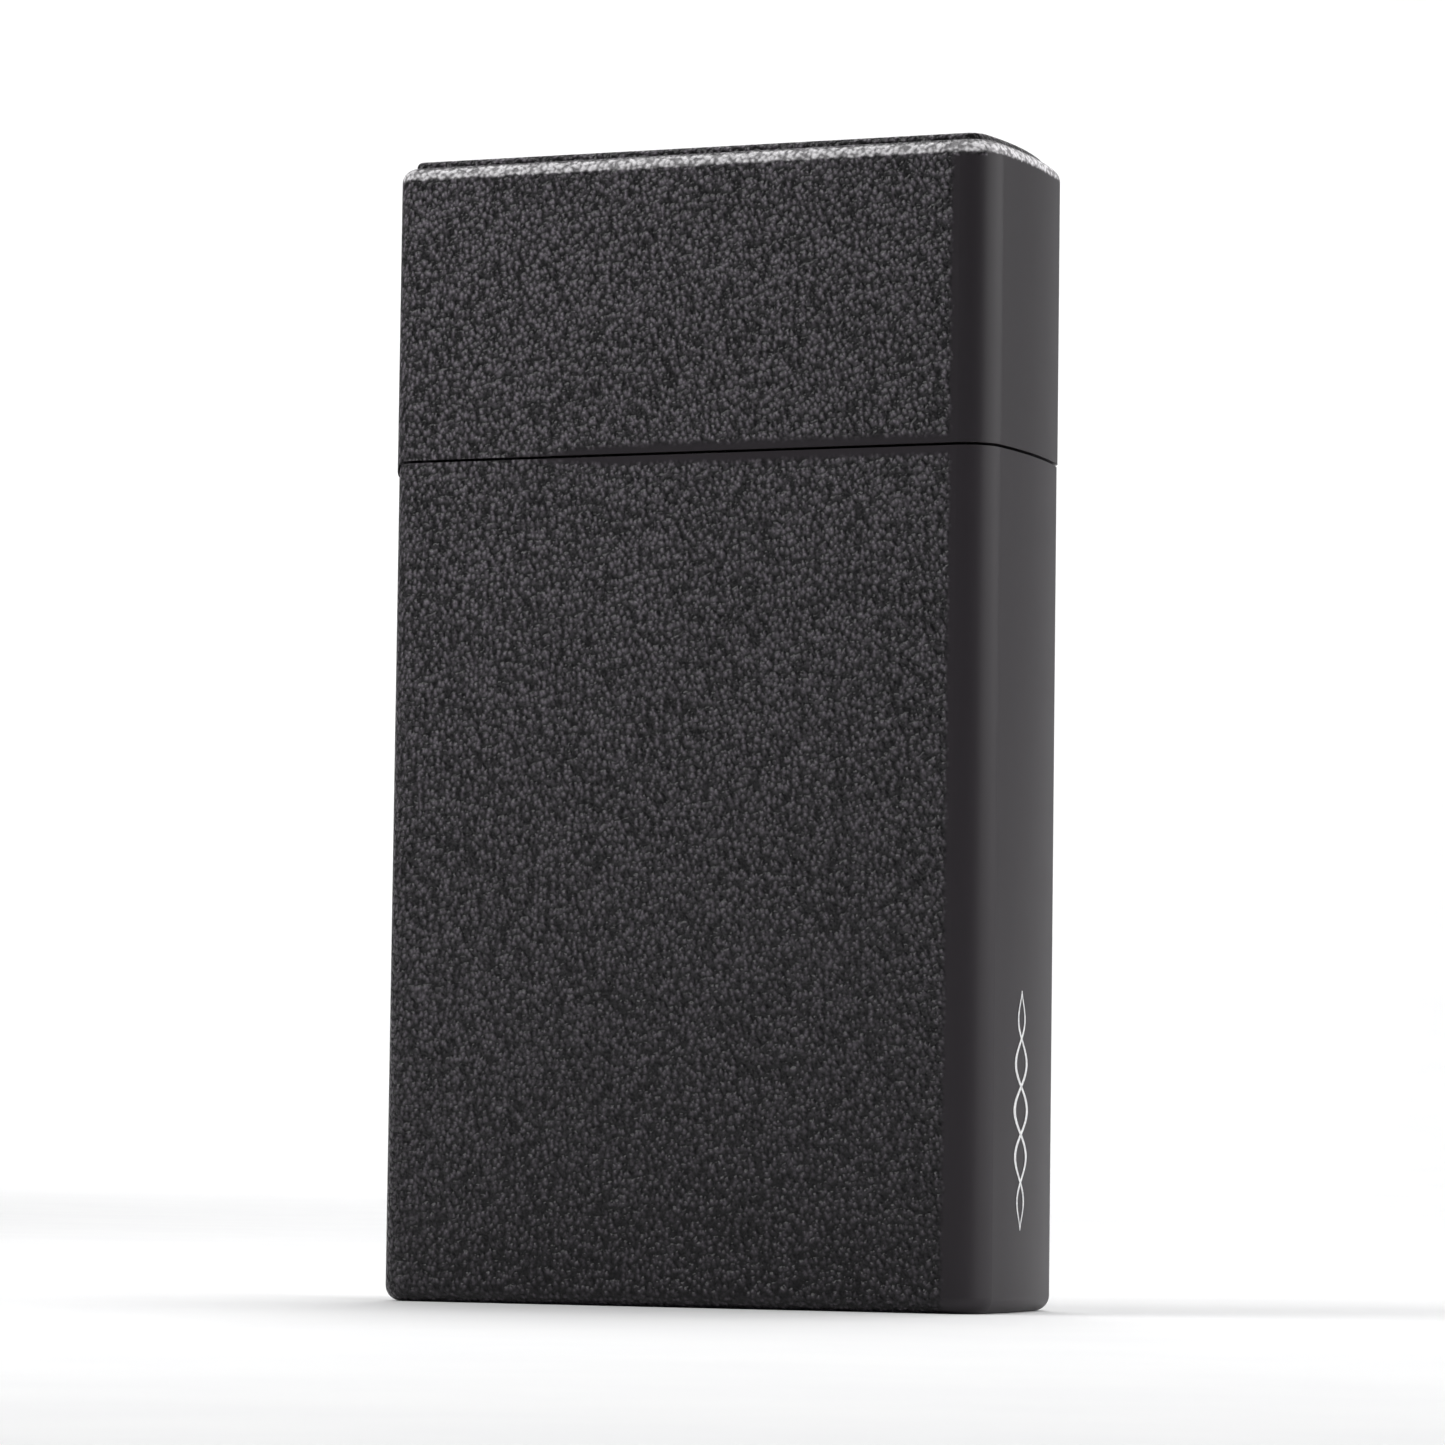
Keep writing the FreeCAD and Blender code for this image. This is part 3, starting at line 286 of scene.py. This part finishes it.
FINISHES = {
    "hinge_steel": metal("hinge_steel", (0.30, 0.30, 0.31), 0.34, (3000, 60, 3000)),
    "spring_wire": metal("spring_wire", (0.48, 0.48, 0.50), 0.28, (900, 900, 900)),
    "tank_plastic": moulded("tank_plastic", (0.55, 0.56, 0.55), 0.35, 0.002, 1.1),
    "frame_plastic": moulded("frame_plastic", (0.018, 0.018, 0.02), 0.5),
    "deck_steel": metal("deck_steel", (0.52, 0.52, 0.54), 0.3, (60, 3200, 3200), 0.003),
    "screw_steel": metal("screw_steel", (0.42, 0.42, 0.43), 0.3, (1500, 1500, 200)),
    "burner_steel": metal("burner_steel", (0.50, 0.49, 0.48), 0.26, (200, 200, 4200)),
    "brass": metal("brass", (0.66, 0.47, 0.18), 0.27, (250, 250, 4000)),
    "ceramic": moulded("ceramic", (0.74, 0.71, 0.66), 0.55, 0.005, 1.08),
    "catalyst_wire": metal("catalyst_wire", (0.40, 0.38, 0.36), 0.3, (900, 900, 900)),
    "seal_rubber": moulded("seal_rubber", (0.012, 0.012, 0.012), 0.7, 0.006),
    "filter_felt": moulded("filter_felt", (0.55, 0.54, 0.50), 0.9, 0.03, 1.2, 5000),
    "button_metal": moulded("button_metal", (0.016, 0.015, 0.018), 0.4, 0.006, 1.5, 5200),
    "lever_steel": metal("lever_steel", (0.50, 0.50, 0.52), 0.32, (60, 3000, 3000)),
    "piezo_plastic": moulded("piezo_plastic", (0.020, 0.020, 0.024), 0.3, 0.002),
    "lead_sleeve": moulded("lead_sleeve", (0.35, 0.012, 0.010), 0.45, 0.004),
}
COATS = {
    "case_shell": grained_coat("case_coat", (0.0205, 0.0165, 0.0205)),
    "lid_shell": grained_coat("lid_coat", (0.0195, 0.0160, 0.0195)),
}


def paint_nodes():
    """Gives every CAD piece its own coat, or else the finish of its material slot."""
    for name, row in rows.items():
        piece = nodes[name]
        piece.data.materials.clear()
        piece.data.materials.append(COATS.get(name) or FINISHES[row["material_slot"]])


def add_soft(node):
    """A spring or soft tube, copied from its CAD piece, which is hidden, and carried with the case."""
    piece = bpy.data.objects.new(node + "_soft", nodes[node].data.copy())
    scene.collection.objects.link(piece)
    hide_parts(node)
    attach(piece, "case")
    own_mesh(piece)


SIDE_BOW = 0.6 * MM


def side_x(y, lift):
    """The x of a point that lies a lift above the bowed narrow side, at a given y."""
    radius = (SIDE_BOW**2 + case_high.y**2) / (2 * SIDE_BOW)
    return case_high.x - radius + math.sqrt(radius**2 - y**2) + lift


def add_strand(points, faces, side):
    """One strand of the ornament, a thin flat band that sways from side to side. The second strand lies a
    hair above the first, so that they don't share a plane where they cross."""
    low, high = case_low.z + 4.6 * MM, case_low.z + 18.0 * MM
    centre_y, sway, waves = -1.15 * MM, 0.95 * MM, 2.5
    end_half, added_half = 0.05 * MM, 0.11 * MM
    under, over = 0.002 * MM, 0.02 * MM
    steps, corners = 150, 4
    start = len(points)
    raised = 0.001 * MM * (side + 1)
    for i in range(steps + 1):
        t = i / steps
        z = low + (high - low) * t
        swell = math.sin(math.pi * t)
        y = centre_y + side * sway * swell**0.6 * math.sin(2 * math.pi * waves * t)
        half = end_half + added_half * swell
        for edge, lift in ((-half, under), (half, under), (half, over), (-half, over)):
            points.append((side_x(y + edge, lift + raised), y + edge, z))
        if i:
            a, b = start + corners * (i - 1), start + corners * i
            for k in range(corners):
                n = (k + 1) % corners
                faces.append((a + k, a + n, b + n, b + k))
    faces.append((start + 3, start + 2, start + 1, start))
    faces.append(tuple(start + corners * steps + k for k in range(corners)))


def add_ornament():
    """Two fine crossing strands, printed in satin white low on the smooth narrow side."""
    points, faces = [], []
    for side in (-1, 1):
        add_strand(points, faces, side)
    mesh = bpy.data.meshes.new("side_ornament")
    mesh.from_pydata(points, [], faces)
    mesh.validate()
    mesh.update()
    piece = bpy.data.objects.new("side_ornament", mesh)
    scene.collection.objects.link(piece)
    ink = Maker("print_white")
    speckle = ink.noise(5200, 3.0, 0.6)
    tone = ink.mix(ink.ramp(speckle, 0.35, 0.65), (0.86, 0.86, 0.86), (0.62, 0.62, 0.63))
    normal = ink.bump(speckle, 0.003 * MM)
    mesh.materials.append(ink.finish(tone, ink.ramp(speckle, *PATCHY, 0.4, 0.6), normal))
    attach(piece, "case")


def add_sweep():
    """A pale floor that curves up behind the object."""
    reach, front, back, bend, height = 2.2, -2.6, 1.4, 0.5, 2.4
    steps = 24
    profile = [(front, 0.0), (back - bend, 0.0)]
    for i in range(1, steps + 1):
        turn = math.pi / 2 * i / steps
        profile.append((back - bend + bend * math.sin(turn), bend - bend * math.cos(turn)))
    profile.append((back, height))
    points = [(x, y, z) for y, z in profile for x in (-reach, reach)]
    faces = [(2 * i, 2 * i + 1, 2 * i + 3, 2 * i + 2) for i in range(len(profile) - 1)]
    mesh = bpy.data.meshes.new("sweep")
    mesh.from_pydata(points, [], faces)
    for face in mesh.polygons:
        face.use_smooth = True
    sweep = bpy.data.objects.new("sweep", mesh)
    scene.collection.objects.link(sweep)
    paper = Maker("paper")
    fibre = paper.noise(60, 5.0, 0.6)
    tone = paper.mix(paper.ramp(fibre, *PATCHY), (0.90, 0.90, 0.90), (0.88, 0.88, 0.885))
    normal = paper.bump(fibre, 0.05 * MM, 0.2)
    mesh.materials.append(paper.finish(tone, paper.ramp(fibre, *PATCHY, 0.85, 0.95), normal))


def add_light(name, azimuth, elevation, distance, size, radiance, target=(0, 0, 0.033)):
    """A soft box of the given brightness. Azimuth 0 is in front, and 90 is to the right."""
    a, e = math.radians(azimuth), math.radians(elevation)
    way = Vector((math.sin(a) * math.cos(e), -math.cos(a) * math.cos(e), math.sin(e)))
    lamp = bpy.data.lights.new(name, "AREA")
    lamp.shape = "RECTANGLE"
    lamp.size, lamp.size_y = size
    lamp.energy = radiance * math.pi * size[0] * size[1]
    holder = bpy.data.objects.new(name, lamp)
    holder.location = Vector(target) + way * distance
    holder.rotation_mode = "QUATERNION"
    holder.rotation_quaternion = (-way).to_track_quat("-Z", "Y")
    scene.collection.objects.link(holder)


def add_room():
    """The dim, even light of the room around the lamps."""
    world = bpy.data.worlds.new("studio")
    world.use_nodes = True
    background = world.node_tree.nodes["Background"]
    background.inputs["Color"].default_value = (0.97, 0.98, 1.0, 1.0)
    background.inputs["Strength"].default_value = 0.1
    scene.world = world


def add_camera(place, yaw, pitch, roll, lens_mm):
    """A camera at a place in metres. It faces +Y, turned left by yaw, up by pitch and leaning by roll, all
    in degrees."""
    yaw, pitch, roll = math.radians(yaw), math.radians(pitch), math.radians(roll)
    look = Vector((-math.sin(yaw) * math.cos(pitch), math.cos(yaw) * math.cos(pitch), math.sin(pitch)))
    level = Vector((math.cos(yaw), math.sin(yaw), 0.0))
    rise = level.cross(look)
    right = math.cos(roll) * level + math.sin(roll) * rise
    up = -math.sin(roll) * level + math.cos(roll) * rise
    lens = bpy.data.cameras.new("camera")
    lens.sensor_width = 36.0
    lens.lens = lens_mm
    lens.clip_start, lens.clip_end = 0.01, 20.0
    camera = bpy.data.objects.new("camera", lens)
    camera.matrix_world = Matrix.Translation(place) @ Matrix((right, up, -look)).transposed().to_4x4()
    scene.collection.objects.link(camera)
    scene.camera = camera


paint_nodes()
add_soft("piezo_spring")
add_soft("valve_spring")
add_soft("gas_tube")
add_soft("fill_valve_spring")
add_ornament()

add_sweep()
add_light("front_left", -54, 44, 0.22, (0.17, 0.18), 4.1, target=(0, 0, 0.075))
add_light("right", 102, 24, 0.7, (0.9, 0.5), 2.7)
add_light("overhead", 180, 66, 0.8, (0.46, 0.46), 5.2)
add_light("backdrop", 0, 45, 0.8, (1.0, 0.8), 4.0, target=(-0.62, 1.4, 0.4))
add_room()
add_camera(Vector((127.265, -315.99, 8.84)) * MM, yaw=21.98, pitch=4.13, roll=0.757, lens_mm=147.7)
scene.view_settings.view_transform = "Standard"
